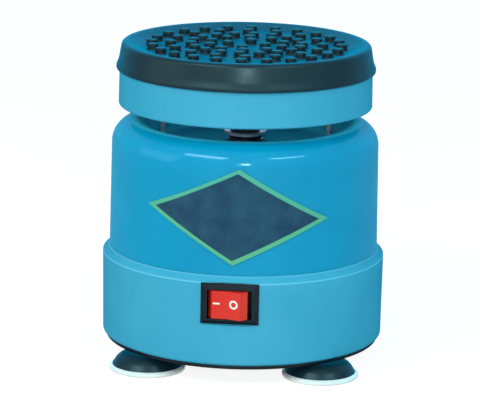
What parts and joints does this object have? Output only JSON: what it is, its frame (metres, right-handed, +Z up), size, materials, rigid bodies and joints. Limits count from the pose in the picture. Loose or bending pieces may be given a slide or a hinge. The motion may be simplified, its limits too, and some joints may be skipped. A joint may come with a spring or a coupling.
{
  "type": "vortex mixer",
  "caption": "Round blue laboratory vortex mixer on suction feet, with a rocker switch, a diamond label and a studded rubber cap on a head that a motor-driven crank shakes.",
  "frame": {"origin": "on the table, on the motor axis at the middle of the base", "axes": "+Z up along the motor axis, -Y to the front with the switch, +X to the right seen from the front"},
  "size_m": [0.105, 0.1119, 0.1177],
  "materials": {
    "housing_blue": "smooth glossy blue moulding",
    "base_blue": "satin lighter blue moulding",
    "label_film": "dark printed film with a light green border",
    "black_rubber": "smooth moulded rubber",
    "pale_rubber": "pale translucent soft vinyl",
    "black_plastic": "satin black moulding",
    "red_plastic": "glossy red moulding",
    "white_plastic": "natural nylon",
    "steel": "bright steel",
    "dark_steel": "dark machined steel",
    "lamination": "stacked steel sheet",
    "aluminium": "die-cast aluminium",
    "copper": "copper",
    "brass": "plain brass",
    "bronze": "sintered bronze",
    "lead_red": "insulated wire"
  },
  "bodies": {
    "case": {"upper_housing": "housing_blue", "base_ring": "base_blue", "base_plate": "black_plastic", "front_label": "label_film", "shaft_seal": "black_rubber", "case_screws": "steel", "guide_pins": "steel", "cable_gland": "black_plastic", "gland_nut": "black_plastic", "foot_studs": "steel", "foot_nuts": "steel", "switch_body": "black_plastic", "switch_terminals": "brass", "terminal_block": "white_plastic", "lead_wires": "lead_red", "stator_stack": "lamination", "coil_formers": "white_plastic", "field_coils": "copper", "shading_rings": "copper", "upper_bracket": "aluminium", "lower_bracket": "aluminium", "upper_bush": "bronze", "lower_bush": "bronze", "motor_bolts": "steel", "motor_nuts": "steel", "mount_bushes": "black_rubber", "mount_screws": "steel", "foot_pad_rear_right": "pale_rubber", "foot_dome_rear_right": "black_rubber", "foot_pad_rear_left": "pale_rubber", "foot_dome_rear_left": "black_rubber", "foot_pad_front_left": "pale_rubber", "foot_dome_front_left": "black_rubber", "foot_pad_front_right": "pale_rubber", "foot_dome_front_right": "black_rubber"},
    "rotor": {"motor_shaft": "steel", "rotor_core": "lamination", "rotor_end_rings": "aluminium", "thrust_washers": "white_plastic", "cooling_fan": "black_plastic", "crank_hub": "dark_steel", "hub_washer": "steel", "counterweight": "dark_steel", "set_screw": "dark_steel", "bearing_inner_race": "steel", "retaining_washer": "steel", "retaining_screw": "steel"},
    "ball_set": {"bearing_balls": "steel", "bearing_cage": "brass"},
    "head": {"bearing_outer_race": "steel", "bearing_circlip": "dark_steel", "head_pan": "base_blue", "pin_grommets": "black_rubber", "rubber_cap": "black_rubber"},
    "rocker": {"switch_rocker": "red_plastic"}
  },
  "joints": [
    {"name": "motor_spin", "type": "hinge", "parent": "case", "child": "rotor", "pos_m": [0, 0, 0.045], "axis": [0, 0, 1], "continuous": true},
    {"name": "head_orbit", "type": "hinge", "parent": "rotor", "child": "head", "pos_m": [0, -0.002, 0.1005], "axis": [0, 0, 1], "continuous": true},
    {"name": "ball_roll", "type": "hinge", "parent": "rotor", "child": "ball_set", "pos_m": [0, -0.002, 0.1005], "axis": [0, 0, 1], "continuous": true},
    {"name": "rocker_tilt", "type": "hinge", "parent": "case", "child": "rocker", "pos_m": [0, -0.0494, 0.031], "axis": [0, 0, 1], "range_deg": [0, 24]}
  ],
  "couplings": [
    {"joint": "head_orbit", "follows": "motor_spin", "ratio": -1},
    {"joint": "ball_roll", "follows": "motor_spin", "ratio": -0.63}
  ]
}
